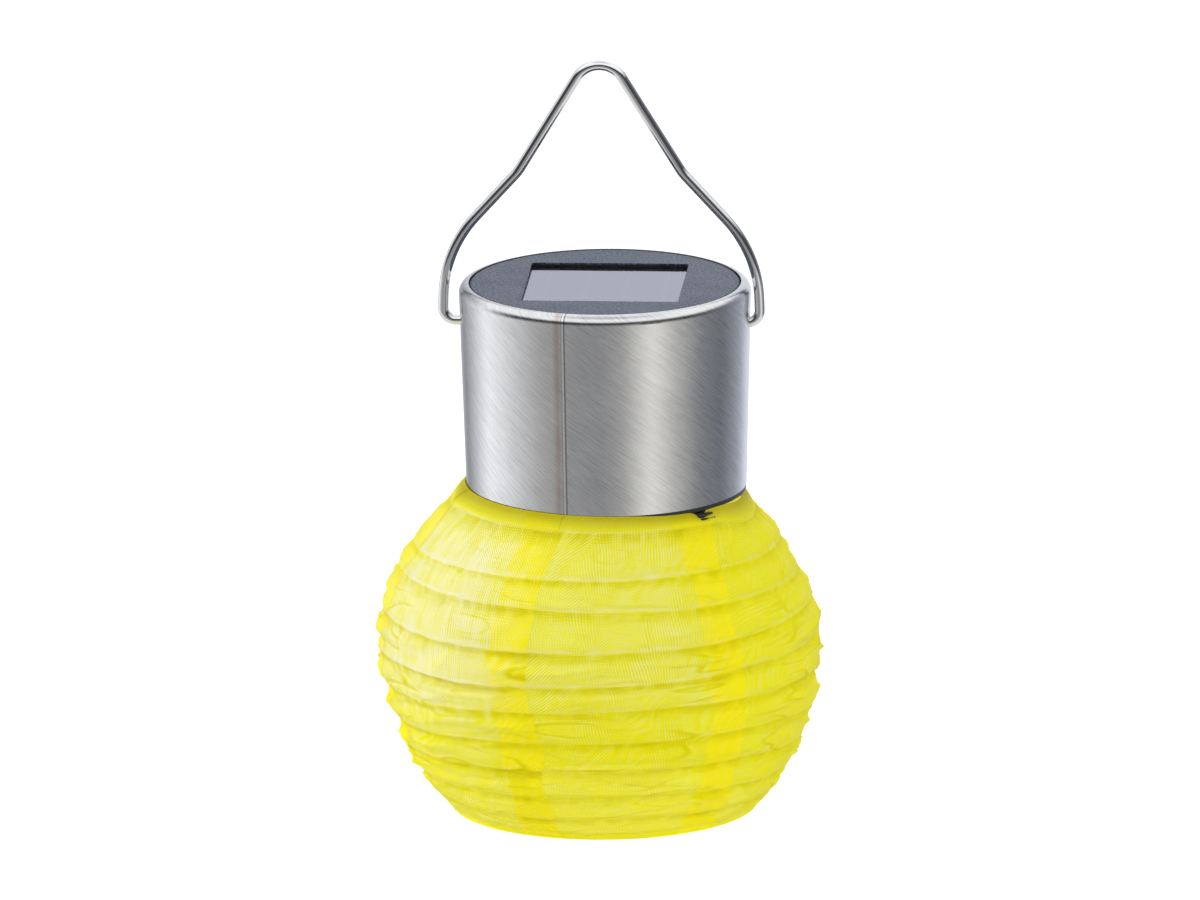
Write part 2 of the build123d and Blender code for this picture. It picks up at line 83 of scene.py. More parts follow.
# Each line that the cloth runs over, from the top edge down: radius, height, how far it sits to
# the left, and how far its left side and its front hang above its middle, in millimetres
SHADE_LINES = [
    (31.28, 73.55, 0.1, 0.5, 0.0),
    (33.5, 70.6, 0.6, 0.3, 0.0),
    (40.6, 61.0, 2.2, -0.3, 0.3),
    (44.2, 55.1, 2.1, 1.0, 0.0),
    (47.6, 47.4, 2.4, -0.6, -1.2),
    (48.9, 38.9, 2.0, -1.7, 0.0),
    (48.4, 31.0, 1.4, -1.6, 2.0),
    (46.6, 23.0, 0.8, -1.4, 2.5),
    (44.2, 16.0, 0.9, -0.8, 2.4),
    (41.4, 10.0, 1.0, -0.4, 1.7),
    (37.9, 4.5, 1.1, -0.2, 1.2),
    (34.3, 0.9, 1.0, 0.0, 0.0),
    (33.95, 0.1, 1.0, 0.0, 0.0),
]
# How far the neck hangs down on the right, and the notch in its edge that shows a clip:
# azimuth and half width in degrees, depth in millimetres
NECK_SAG = 2.8
CLIP_NOTCH = (45.5, 3.2, 1.0)
# How far and how wide the cloth stands out over a clip, in millimetres and degrees, and how many
# lines down that goes
CLIP_PUSH = 0.95
CLIP_PUSH_WIDTH = 6.5
CLIP_PUSH_DOWN = 1.7
# How deep the slack tucks in under each line, and how far the cloth bellies out below that
SHADE_TUCK = [0.0, 0.2, 0.3, 0.4, 0.6, 0.7, 0.7, 0.6, 0.5, 0.4, 0.2, 0.0]
SHADE_BELLY = [0.3, 0.2, 0.2, 0.3, 0.3, 0.4, 0.5, 0.5, 0.5, 0.4, 0.3, 0.0]
# Rows of SHADE_LINES: the neck ring's, the ribs', and the first at the foot
NECK_ROW = 1
RIB_ROWS = range(2, 11)
FOOT_ROW = 11
CLIP_AZIMUTHS = [47, 167, 287]
# Seams: azimuths, degrees from one to the next, width of the lap, and how far a lap's edge steps
# aside at a rib
SEAM_AZIMUTHS = [-20, 40, 100, 160, 220, 280]
GORE_TURN = 60
SEAM_OVERLAP = 8.8
SEAM_STEP = 1.3
# How far the edge of a gore that lies underneath stands off, and how much more the top one does
CLOTH_UNDER = 0.02
CLOTH_OVER = 0.14
# Where the rows of a gore lie between one line and the next: closest at the ribs
ROW_STEPS = [0, 0.04, 0.08, 0.12, 0.17, 0.23, 0.3, 0.38]
ROW_STEPS += [0.47, 0.56, 0.65, 0.73, 0.81, 0.88, 0.92, 0.96]
GORE_COLUMNS = 110
# Radius of the wire in the neck ring and in the ribs, and its distance from the cloth
NECK_WIRE = 0.75
RIB_WIRE = 0.35
WIRE_GAP = 0.25
# Points round a ring, and sides of its wire
RING_POINTS = 180
RING_SIDES = 12
# Hem round the hoop: width of the hoop, thickness of the cloth, puckers round the ring
HOOP_WIDTH = 1.7 * MM
HEM_CLOTH = 0.12 * MM
HEM_PUCKERS = 60

# Cloth: spacing of the threads both ways and of the two sets of fine bands, in millimetres
THREAD_SPACING = (0.66, 0.6)
BAND_SPACING = (0.68, 0.64)
# Where the painted sheen on the cloth is strongest, and a full turn, in tens of degrees of azimuth
SHEEN_TURN = 30.8
FULL_TURN = 36.0
CLOTH_YELLOW = (0.84, 0.80, 0.0)
LAPPED_YELLOW = (0.95, 0.86, 0.0)
# Painted shade in the folds below the ribs and creases
FOLD_SHADE_YELLOW = (0.66, 0.60, 0.0)
# The collar's extra layers, with painted shade from the rim over them
COLLAR_LAYERS_AND_SHADE_YELLOW = (0.46, 0.40, 0.0)
# Paler colour that paints the glints where the gloss shows
PAINTED_GLINT_YELLOW = (0.90, 0.89, 0.38)
# Near white that paints the sheen on the left
PAINTED_SHEEN_YELLOW = (0.96, 0.95, 0.84)


# ---------------------------------------------------------------- shader helpers


class Shader:
    """A short way to add and join the nodes of one material or world."""

    def __init__(self, name, owner=None):
        self.owner = owner or bpy.data.materials.new(name)
        self.owner.use_nodes = True
        self.tree = self.owner.node_tree
        self.tree.nodes.clear()

    def add(self, kind, inputs=None, **settings):
        node = self.tree.nodes.new(kind)
        for name, value in settings.items():
            setattr(node, name, value)
        for socket, value in (inputs or {}).items():
            if isinstance(value, bpy.types.NodeSocket):
                self.tree.links.new(value, node.inputs[socket])
            else:
                node.inputs[socket].default_value = value
        return node

    def math(self, operation, a, b=0.0):
        return self.add("ShaderNodeMath", {0: a, 1: b}, operation=operation).outputs[0]

    def times(self, first, *others):
        for other in others:
            first = self.math("MULTIPLY", first, other)
        return first

    def plus(self, first, *others):
        for other in others:
            first = self.math("ADD", first, other)
        return first

    def minus(self, a, b):
        return self.math("SUBTRACT", a, b)

    def apart(self, a, b):
        """How far apart two values are."""
        return self.math("ABSOLUTE", self.minus(a, b))

    def split(self, vector):
        return self.add("ShaderNodeSeparateXYZ", {0: vector}).outputs

    def stretch(self, vector, scale, turned=(0, 0, 0)):
        inputs = {"Vector": vector, "Scale": scale, "Rotation": turned}
        return self.add("ShaderNodeMapping", inputs).outputs[0]

    def remap(self, value, low, high, to_low, to_high):
        inputs = {0: value, 1: low, 2: high, 3: to_low, 4: to_high}
        return self.add("ShaderNodeMapRange", inputs).outputs[0]

    def blend(self, factor, a, b):
        node = self.add("ShaderNodeMix", data_type="RGBA")
        sockets = [s for s in node.inputs if s.type == "RGBA"]
        for socket, value in ((node.inputs[0], factor), (sockets[0], a), (sockets[1], b)):
            if isinstance(value, bpy.types.NodeSocket):
                self.tree.links.new(value, socket)
            elif socket.type == "RGBA":
                socket.default_value = (*value, 1)
            else:
                socket.default_value = value
        return next(s for s in node.outputs if s.type == "RGBA")

    def noise(self, vector, scale, detail, roughness):
        inputs = {"Vector": vector, "Scale": scale, "Detail": detail, "Roughness": roughness}
        return self.add("ShaderNodeTexNoise", inputs).outputs[0]

    def bump(self, height, strength, distance):
        inputs = {"Height": height, "Strength": strength, "Distance": distance}
        return self.add("ShaderNodeBump", inputs).outputs[0]

    def finish(self, surface, target="ShaderNodeOutputMaterial"):
        self.add(target, {"Surface": surface})
        return self.owner


def object_point(shader):
    return shader.add("ShaderNodeTexCoord").outputs["Object"]


# ---------------------------------------------------------------- materials


def weld_tint(s, tone, sideways, front, cloud):
    """The brown heat tint beside the weld, and dark and bright lines along the weld."""
    shape = s.remap(s.apart(sideways, -0.0017), 0.0001, 0.0012, 0.75, 0.0)
    tint = s.times(shape, front, s.remap(cloud, 0.3, 0.6, 0.4, 1))
    tone = s.blend(tint, tone, (0.47, 0.37, 0.31))
    for offset, half, strength, colour in (
        (0.0, 0.00014, 0.7, (0.12, 0.11, 0.10)),
        (0.0004, 0.00016, 0.5, (0.86, 0.86, 0.85)),
        (0.00072, 0.00012, 0.4, (0.22, 0.21, 0.20)),
    ):
        line = s.math("LESS_THAN", s.apart(sideways, -offset), half)
        tone = s.blend(s.times(line, front, strength), tone, colour)
    return tone


def brushed_sleeve():
    """Stainless steel with slanting hairlines and a heat tint beside the weld."""
    s = Shader("sleeve_steel")
    point = object_point(s)
    x, y, z = s.split(point)
    weld = math.radians(WELD_AZIMUTH)
    # Sideways and outward distance from the weld; the pattern's two ends meet there.
    sideways = s.plus(s.times(x, math.cos(weld)), s.times(y, math.sin(weld)))
    outward = s.minus(s.times(x, math.sin(weld)), s.times(y, math.cos(weld)))
    turn = s.math("ARCTAN2", s.times(sideways, -1), s.times(outward, -1))
    flat = s.add("ShaderNodeCombineXYZ", {0: s.times(turn, SLEEVE_RADIUS), 1: z, 2: 0.0}).outputs[0]
    turned = s.stretch(flat, (1, 1, 1), (0, 0, math.radians(HAIRLINE_SLANT)))
    hair = s.noise(s.stretch(turned, (160, 3600, 1)), 1.0, 4.0, 0.7)
    band = s.noise(s.stretch(turned, (70, 1100, 1)), 1.0, 3.0, 0.6)
    cloud = s.noise(point, 55.0, 4.0, 0.6)
    tone = s.blend(s.remap(hair, 0.32, 0.68, 0, 1), (0.50, 0.50, 0.50), (0.80, 0.80, 0.79))
    tone = s.blend(s.remap(band, 0.4, 0.68, 0, 0.6), tone, (0.76, 0.76, 0.755))
    tone = s.blend(s.remap(cloud, 0.4, 0.7, 0, 0.35), tone, (0.50, 0.50, 0.505))
    tone = weld_tint(s, tone, sideways, s.math("GREATER_THAN", outward, 0.0), cloud)
    metal = s.add(
        "ShaderNodeBsdfPrincipled",
        {
            "Base Color": tone,
            "Metallic": 1.0,
            "Roughness": s.remap(hair, 0.3, 0.7, 0.15, 0.27),
            "Normal": s.bump(s.plus(hair, s.times(band, 0.5)), 0.22, 0.00003),
        },
    )
    return s.finish(metal.outputs[0])


def polished_wire():
    """Smooth steel with faint marks along the wire."""
    s = Shader("bail_steel")
    marks = s.noise(s.stretch(object_point(s), (500, 500, 90)), 1.0, 3.0, 0.6)
    metal = s.add(
        "ShaderNodeBsdfPrincipled",
        {
            "Base Color": s.blend(marks, (0.66, 0.66, 0.67), (0.80, 0.80, 0.81)),
            "Metallic": 1.0,
            "Roughness": s.remap(marks, 0.3, 0.7, 0.05, 0.12),
            "Normal": s.bump(marks, 0.12, 0.00003),
        },
    )
    return s.finish(metal.outputs[0])


def plain_metal(name, colour, roughness):
    """Metal with a fine even grain."""
    s = Shader(name)
    grain = s.noise(object_point(s), 900.0, 3.0, 0.6)
    low = tuple(c * 0.8 for c in colour)
    metal = s.add(
        "ShaderNodeBsdfPrincipled",
        {
            "Base Color": s.blend(grain, low, colour),
            "Metallic": 1.0,
            "Roughness": s.remap(grain, 0.3, 0.7, roughness * 0.8, roughness * 1.2),
            "Normal": s.bump(grain, 0.12, 0.00003),
        },
    )
    return s.finish(metal.outputs[0])


def moulded(name, colour, roughness, grain_size, depth):
    """Moulded plastic or rubber with a fine surface grain and a little mottling."""
    s = Shader(name)
    point = object_point(s)
    grain = s.noise(point, 1.0 / grain_size, 2.0, 0.6)
    cloud = s.noise(point, 90.0, 2.0, 0.5)
    low = tuple(c * 0.75 for c in colour)
    tone = s.blend(s.remap(cloud, 0.3, 0.7, 0, 1), low, colour)
    high = tuple(min(1, c * 1.6 + 0.01) for c in colour)
    tone = s.blend(s.remap(grain, 0.55, 0.75, 0, 0.5), tone, high)
    body = s.add(
        "ShaderNodeBsdfPrincipled",
        {
            "Base Color": tone,
            "Roughness": s.remap(cloud, 0.3, 0.7, roughness * 0.88, roughness * 1.12),
            "Normal": s.bump(grain, 0.5, depth),
        },
    )
    return s.finish(body.outputs[0])


def bezel_plastic():
    """Dark slate plastic with a leathery grain, and painted shade darkening the window's pocket."""
    s = Shader("bezel_plastic")
    point = object_point(s)
    grain = s.noise(point, 1700.0, 2.0, 0.6)
    cloud = s.noise(point, 120.0, 2.0, 0.5)
    tone = s.blend(s.remap(grain, 0.42, 0.62, 0, 1), (0.014, 0.022, 0.045), (0.095, 0.115, 0.160))
    # Painted shade: the bezel turns near black down in the window's pocket.
    pocket_shade = s.remap(s.split(point)["Z"], *POCKET_SHADE_HEIGHTS, 1.0, 0.0)
    tone = s.blend(pocket_shade, tone, (0.002, 0.002, 0.002))
    body = s.add(
        "ShaderNodeBsdfPrincipled",
        {
            "Base Color": tone,
            "Roughness": s.remap(cloud, 0.3, 0.7, 0.37, 0.46),
            "Normal": s.bump(grain, 1.0, 0.0003),
        },
    )
    return s.finish(body.outputs[0])


def clear_window():
    """A clear cover that mirrors more at a flat angle, with a faint smear."""
    s = Shader("window_clear")
    smear = s.noise(object_point(s), 45.0, 3.0, 0.6)
    edge = s.add("ShaderNodeFresnel", {"IOR": 1.55}).outputs[0]
    through = s.add("ShaderNodeBsdfTransparent", {"Color": (0.86, 0.9, 0.93, 1)})
    gloss = s.add(
        "ShaderNodeBsdfGlossy",
        {"Color": (0.95, 0.97, 1.0, 1), "Roughness": s.remap(smear, 0.3, 0.7, 0.03, 0.09)},
    )
    share = s.math("MINIMUM", s.times(edge, 1.85), 1.0)
    mix = s.add("ShaderNodeMixShader", {0: share, 1: through.outputs[0], 2: gloss.outputs[0]})
    return s.finish(mix.outputs[0])


def silicon_cell():
    """Dark strips of silicon with thin silver fingers and one bus line each."""
    s = Shader("silicon")
    point = object_point(s)
    x, y = s.split(point)[:2]
    fingers = s.math("LESS_THAN", s.math("PINGPONG", y, FINGER_STEP), 0.00007)
    bus = s.math("GREATER_THAN", s.math("PINGPONG", x, BUS_STEP), 0.0041)
    lines = s.math("MAXIMUM", s.times(fingers, 0.75), bus)
    flakes = s.add("ShaderNodeTexVoronoi", {"Vector": point, "Scale": 260.0}).outputs["Color"]
    flake = s.add("ShaderNodeSeparateColor", {0: flakes}).outputs[0]
    dark = s.blend(flake, (0.006, 0.009, 0.03), (0.014, 0.02, 0.07))
    body = s.add(
        "ShaderNodeBsdfPrincipled",
        {"Base Color": s.blend(lines, dark, (0.13, 0.13, 0.14)), "Roughness": 0.24},
    )
    return s.finish(body.outputs[0])


def lamp_resin():
    """The clear resin of the LED."""
    s = Shader("led_resin")
    haze = s.noise(object_point(s), 500.0, 2.0, 0.5)
    body = s.add(
        "ShaderNodeBsdfPrincipled",
        {
            "Base Color": (0.96, 0.96, 0.93, 1),
            "Roughness": s.remap(haze, 0.3, 0.7, 0.04, 0.12),
            "Transmission Weight": 0.9,
            "IOR": 1.5,
        },
    )
    return s.finish(body.outputs[0])


def woven(s, flat):
    """Crossed threads, thick threads, and the fine bands where two layers fall out of step."""
    u, v = s.split(flat)[:2]
    wobble = s.times(s.noise(flat, 0.09, 2.0, 0.5), 1.6)
    waves = []
    for across, spacing in zip((u, v), THREAD_SPACING):
        waves.append(s.math("SINE", s.times(s.plus(across, wobble), 2 * math.pi / spacing)))
    threads = s.times(s.plus(s.times(*waves), 1.0), 0.5)
    drift = s.times(s.noise(flat, 0.05, 2.0, 0.5), 4.0)
    slant = s.plus(s.times(u, 0.75), s.times(v, 0.9), drift)
    upright = s.plus(u, s.times(v, -0.12), drift)
    slant = s.math("SINE", s.times(slant, 2 * math.pi / BAND_SPACING[0]))
    upright = s.math("SINE", s.times(upright, 2 * math.pi / BAND_SPACING[1]))
    patch = s.remap(s.noise(flat, 0.06, 2.0, 0.5), 0.46, 0.54, 0.0, 1.0)
    moire = s.plus(s.times(slant, patch), s.times(upright, s.minus(1.0, patch)))
    slubs = s.noise(s.stretch(flat, (0.12, 3.2, 1)), 1.0, 2.0, 0.5)
    return threads, moire, slubs


def creased(s, lines, place):
    """Painted highlight and shade: pale crests and edges, deep yellow folds; at each rib and loose
    round the belly.
    """
    near = s.math("PINGPONG", s.plus(place, 0.03), 0.5)
    below = s.math("FRACT", place)
    uneven = s.noise(s.stretch(lines, (2.2, 1.4, 1)), 1.0, 3.0, 0.6)
    # Painted highlight along each rib's crest, weaker low down and none at the neck.
    crest_highlight = s.times(s.remap(near, 0.0, 0.07, 1, 0), s.remap(uneven, 0.38, 0.6, 0.1, 1.0))
    crest_highlight = s.times(crest_highlight, s.remap(place, 4.5, 7.5, 1.0, 0.3), s.remap(place, 1.3, 1.6, 0.0, 1.0))
    # Painted shade in the fold just below each rib.
    fold = s.times(s.remap(below, 0.4, 0.1, 0, 1), s.math("GREATER_THAN", below, 0.04))
    fold = s.times(fold, s.remap(uneven, 0.62, 0.42, 0.3, 1.0))
    # Loose creases round the belly: a painted highlight along one edge, painted shade in a band
    # beside it.
    long_wave = s.noise(s.stretch(lines, (0.34, 1.9, 1)), 1.0, 0.6, 0.4)
    calm = s.noise(s.stretch(lines, (0.5, 0.6, 1)), 1.0, 0.0, 0.5)
    loose = s.times(s.remap(place, 2.0, 4.5, 0.3, 1), s.remap(calm, 0.42, 0.54, 0.0, 1.0))
    edge = s.times(s.remap(s.apart(long_wave, 0.5), 0.0, 0.018, 1.0, 0.0), loose)
    band = s.times(s.remap(s.apart(long_wave, 0.54), 0.0, 0.03, 1.0, 0.0), loose)
    return crest_highlight, edge, s.math("MAXIMUM", fold, band)


def left_sheen_share(s, turn, place):
    """The painted sheen's share: on the left, where the key lamp lights, most of it above the
    belly.
    """
    sides = [
        s.remap(s.apart(turn, SHEEN_TURN - whole), 1.5, 3.6, 1, 0) for whole in (0.0, FULL_TURN)
    ]
    high = s.times(s.remap(place, 0.6, 1.6, 0, 1), s.remap(place, 5.0, 9.0, 1, 0.35))
    return s.times(s.math("MAXIMUM", *sides), high)


def whiteness(s, flat, lines, turn, place, strip):
    """How much of the white gloss and painted sheen shows, with the parts of the pattern that other
    looks use.
    """
    threads, moire, slubs = woven(s, flat)
    crest_highlight, edge, fold = creased(s, lines, place)
    left_sheen = left_sheen_share(s, turn, place)
    crimp = s.noise(s.stretch(lines, (5.0, 0.9, 1)), 1.0, 3.0, 0.6)
    crimp = s.remap(crimp, 0.38, 0.66, -0.5, 1.0)
    glint_patches = s.noise(flat, 0.16, 4.0, 0.65)
    # Painted shade: the right side and the lower part get less of the painted sheen.
    right = s.times(s.remap(turn, 2.5, 4.5, 0, 1), s.remap(turn, 12.0, 20.0, 1, 0))
    shaded_right_and_low = s.math("MAXIMUM", right, s.remap(place, 5.0, 7.0, 0, 1))
    # The pale share paints sheen and glints into the colour, over the woven pattern.
    pale = s.plus(
        s.times(moire, 0.62),
        s.times(shaded_right_and_low, -0.6),
        s.times(left_sheen, 0.4),
        s.times(crimp, s.plus(s.times(left_sheen, 0.4), 0.1)),
        s.remap(slubs, 0.3, 0.7, -0.3, 0.3),
        s.times(s.minus(threads, 0.5), 2.0),
        s.remap(glint_patches, 0.42, 0.66, -0.12, 0.24),
        crest_highlight,
        s.times(edge, 0.45),
        s.times(fold, -0.75),
        s.times(strip, -0.35),
    )
    weave = s.bump(s.plus(threads, s.times(slubs, 0.7)), 0.35, 0.00008)
    return s.remap(pale, -0.06, 0.92, 0.0, 1.0), threads, fold, left_sheen, weave


def sheer_fabric():
    """Yellow organza: fine crossed threads with a white gloss, painted sheen and shade, and light
    passing through.
    """
    s = Shader("shade_fabric")
    flat, lines, lapped = [
        s.add("ShaderNodeUVMap", uv_map=name).outputs[0] for name in ("cut", "lines", "overlap")
    ]
    turn, place = s.split(lines)[:2]
    strip = s.remap(s.split(lapped)[0], -0.05, 0.15, 0.0, 1.0)
    white, threads, fold, left_sheen, weave = whiteness(s, flat, lines, turn, place, strip)
    # The folded edges round the neck ring and the hoop are several layers deep; the collar under
    # the rim also gets painted shade, darkest at the top.
    collar = s.remap(place, 0.2, 1.25, 1, 0)
    top_hem = s.remap(place, 0.9, 1.05, 1, 0)
    foot_hem = s.remap(place, FOOT_ROW - 0.2, FOOT_ROW, 0, 1)
    hem = s.math("MAXIMUM", top_hem, foot_hem)
    white = s.times(white, s.remap(hem, 0.0, 1.0, 1.0, 0.12))
    plain = s.blend(strip, CLOTH_YELLOW, LAPPED_YELLOW)
    # Painted shade in the folds, then the collar's layers with painted shade over them.
    plain = s.blend(s.times(fold, 0.85), plain, FOLD_SHADE_YELLOW)
    deep = s.blend(collar, plain, COLLAR_LAYERS_AND_SHADE_YELLOW)
    dull = s.add(
        "ShaderNodeBsdfPrincipled",
        {"Base Color": deep, "Roughness": 0.6, "Specular IOR Level": 0.15, "Normal": weave},
    )
    # Real gloss, with a paler base colour that paints the glints and, on the left, the sheen.
    shiny = s.add(
        "ShaderNodeBsdfPrincipled",
        {
            "Base Color": s.blend(left_sheen, PAINTED_GLINT_YELLOW, PAINTED_SHEEN_YELLOW),
            "Roughness": 0.42,
            "Specular IOR Level": 1.0,
            "Coat Weight": 1.0,
            "Coat Roughness": 0.36,
            "Coat IOR": 2.0,
            "Normal": weave,
            "Coat Normal": weave,
        },
    )
    face = s.add("ShaderNodeMixShader", {0: white, 1: dull.outputs[0], 2: shiny.outputs[0]})
    # Light through the cloth: paler where sheen is painted, darker over the collar from its layers
    # and painted shade.
    through = s.blend(white, (0.93, 0.88, 0.0), (0.95, 0.94, 0.3))
    through = s.blend(collar, through, (0.5, 0.43, 0.0))
    glow = s.add("ShaderNodeBsdfTranslucent", {"Color": through, "Normal": weave})
    share = s.remap(hem, 0.0, 1.0, 0.36, 0.12)
    cloth = s.add("ShaderNodeMixShader", {0: share, 1: face.outputs[0], 2: glow.outputs[0]})
    gap = s.add("ShaderNodeBsdfTransparent", {"Color": (1.0, 0.97, 0.3, 1)})
    open_share = s.times(s.remap(threads, 0.0, 1.0, 0.13, 0.03), s.minus(1.0, hem))
    mix = s.add("ShaderNodeMixShader", {0: open_share, 1: cloth.outputs[0], 2: gap.outputs[0]})
    return s.finish(mix.outputs[0])


def wrapped_hem():
    """Two folded layers of the same cloth, so nothing shows through."""
    s = Shader("hem_fabric")
    point = object_point(s)
    x, y, z = s.split(point)
    threads = s.math("SINE", s.times(s.math("ARCTAN2", y, x), 520.0))
    across = s.math("SINE", s.times(z, 2 * math.pi / 0.0004))
    weave = s.times(threads, across)
    cloud = s.noise(point, 160.0, 2.0, 0.5)
    tone_at = s.plus(s.times(weave, 0.25), cloud)
    face = s.add(
        "ShaderNodeBsdfPrincipled",
        {
            "Base Color": s.blend(tone_at, (0.74, 0.68, 0.006), (0.88, 0.84, 0.05)),
            "Roughness": 0.55,
            "Sheen Weight": 0.3,
            "Normal": s.bump(weave, 0.3, 0.00008),
        },
    )
    return s.finish(face.outputs[0])


# ---------------------------------------------------------------- mesh helpers


def mesh_object(name, verts, faces, material, smooth=True):
    mesh = bpy.data.meshes.new(name)
    mesh.from_pydata(verts, [], faces)
    mesh.update()
    if smooth:
        mesh.polygons.foreach_set("use_smooth", [True] * len(mesh.polygons))
    mesh.materials.append(material)
    obj = bpy.data.objects.new(name, mesh)
    bpy.context.scene.collection.objects.link(obj)
    return obj


def grid_faces(rows, wide):
    """Quads of a grid whose points run along one row after the other."""
    return [
        (r * wide + c, (r + 1) * wide + c, (r + 1) * wide + c + 1, r * wide + c + 1)
        for r in range(rows - 1)
        for c in range(wide - 1)
    ]


def tube_faces(count, sides):
    """Quads of a closed tube of count sections; its points run round one section at a time."""
    faces = []
    for i in range(count):
        a, b = i * sides, ((i + 1) % count) * sides
        for k in range(sides):
            after = (k + 1) % sides
            faces.append((a + k, a + after, b + after, b + k))
    return faces


def wave(azimuth, along, seed, fineness=2.0):
    """Smooth noise from -1 to 1 that closes on itself round the shade."""
    angle = math.radians(azimuth)
    spot = (math.cos(angle) * fineness, math.sin(angle) * fineness, along + seed * 17.3)
    return noise.noise(Vector(spot))


def crease(azimuth, along, seed):
    """Sharp level ridges from 0 to 1."""
    return max(0.0, 1 - 2.6 * abs(wave(azimuth, along, seed))) ** 2


def ease(low, high, value):
    """A smooth step from 0 at low to 1 at high."""
    t = min(1.0, max(0.0, (value - low) / (high - low)))
    return t * t * (3 - 2 * t)


# ---------------------------------------------------------------- fabric shade


def between_lines(place, column):
    """One column of SHADE_LINES at a place between two of its rows."""
    band = min(int(place), len(SHADE_LINES) - 2)
    part = place - band
    return SHADE_LINES[band][column] * (1 - part) + SHADE_LINES[band + 1][column] * part


def line_height(index, azimuth):
    """Height of a rib line at an azimuth: the ribs hang slightly out of level."""
    _, height, _, tilt, lean = SHADE_LINES[index]
    sideways = math.sin(math.radians(azimuth))
    if index == 0:
        height -= 0.5 * ease(0.2, 0.6, sideways) + 0.45 * NECK_SAG * ease(0.85, 1.0, sideways)
        middle, half, depth = CLIP_NOTCH
        height -= depth * math.exp(-(((azimuth % 360 - middle) / half) ** 2))
    if index == NECK_ROW:
        height -= NECK_SAG * ease(0.74, 1.0, sideways)
    height += lean * math.cos(math.radians(azimuth)) - tilt * sideways
    if index in RIB_ROWS:
        height += 0.4 * wave(azimuth, index * 1.7, 1)
    return height


def line_radius(index, azimuth):
    """Radius of a rib line at an azimuth: the ribs are slightly out of round."""
    radius = SHADE_LINES[index][0]
    if index == 0:
        radius -= 0.9 * ease(0.85, 1.0, math.sin(math.radians(azimuth)))
    if index in RIB_ROWS:
        radius += 0.3 * wave(azimuth, index * 2.3, 2)
    return radius


def slack(azimuth):
    """The cloth is slackest on the left."""
    return 1 + 0.45 * max(0.0, -math.sin(math.radians(azimuth - 4)))


def shade_point(azimuth, place):
    """Radius and height of the cloth. place counts the rib lines from the top edge down."""
    band = min(int(place), len(SHADE_LINES) - 2)
    part = place - band
    r0, r1 = line_radius(band, azimuth), line_radius(band + 1, azimuth)
    z0, z1 = line_height(band, azimuth), line_height(band + 1, azimuth)
    radius = r0 + (r1 - r0) * part
    height = z0 + (z1 - z0) * part
    loose = max(0.15, 0.75 + 1.1 * wave(azimuth, band * 3.1, 3)) * slack(azimuth)
    tuck = SHADE_TUCK[band] * loose
    dip = ease(0.0, 0.16, part) * math.exp(-(((part - 0.18) / 0.16) ** 2))
    belly = SHADE_BELLY[band] * (0.8 + 0.5 * wave(azimuth, band * 2.7, 4))
    radius += belly * math.sin(math.pi * part**1.4) - tuck * dip
    height -= 0.3 * tuck * dip
    if 0 < band < FOOT_ROW and 0 < part < 1:
        radius += loose_folds(azimuth, place, part, height)
    if place < CLIP_PUSH_DOWN:
        turns = [(azimuth % 360 - clip) / CLIP_PUSH_WIDTH for clip in CLIP_AZIMUTHS]
        push = sum(math.exp(-(turn**2)) for turn in turns)
        radius += CLIP_PUSH * push * math.sin(math.pi * place / CLIP_PUSH_DOWN)
    return radius, height


def loose_folds(azimuth, place, part, height):
    """Long level creases, short puckers below each rib, and small crumples."""
    free = math.sin(math.pi * part) ** 0.6
    low = ease(62.0, 36.0, height) * ease(2.0, 14.0, height)
    near = math.exp(-part / 0.3) + math.exp(-(1 - part) / 0.25)
    fold = wave(azimuth, place * 2.6, 5) * 0.8 + crease(azimuth, place * 1.9, 8) * 1.2 - 0.5
    pucker = wave(azimuth, place * 0.8, 6, 15.0) * 0.75 * near
    crumple = wave(azimuth, place * 4.5, 7, 8.0) * 0.35
    small = pucker + crumple * (0.3 + 0.7 * low)
    return free * (fold * (0.35 + 0.75 * low) + slack(azimuth) * small)


def seam_step(seam, band, edge):
    """How far an edge of an overlap steps sideways in one band, in millimetres."""
    return SEAM_STEP * noise.noise(Vector((seam * 5.1 + 0.3, band * 3.7 + 0.6, edge * 9.1)))


def seam_edge(seam, place, edge):
    """Offset of an overlap's edge from the seam's middle, stepping where it crosses a rib."""
    band = int(place)
    part = place - band
    here = seam_step(seam, band, edge)
    following = seam_step(seam, band + 1, edge)
    return here + (following - here) * ease(0.93, 1.0, part)


def gore_edges(index, place, per_mm):
    """Azimuths of one gore's two edges, and of the inner ends of its laps."""
    seam = SEAM_AZIMUTHS[index]
    far_seam = seam + GORE_TURN
    following = (index + 1) % len(SEAM_AZIMUTHS)
    half = SEAM_OVERLAP / 2
    start = seam - (half + seam_edge(index, place, 0)) * per_mm
    end = far_seam + (half + seam_edge(following, place, 1)) * per_mm
    left_end = seam + (half + seam_edge(index, place, 1)) * per_mm
    right_start = far_seam - (half + seam_edge(following, place, 0)) * per_mm
    return start, end, left_end, right_start


def cloth_point(azimuth, place, share):
    """One point of a gore; the cloth lifts a little towards the edge that lies on top."""
    radius, height = shade_point(azimuth, place)
    radius += CLOTH_UNDER + CLOTH_OVER * ease(0.0, 1.0, share)
    angle = math.radians(azimuth)
    x = radius * math.sin(angle) - between_lines(place, 2)
    y = -radius * math.cos(angle)
    return (x * MM, y * MM, max(height, 0.05) * MM)


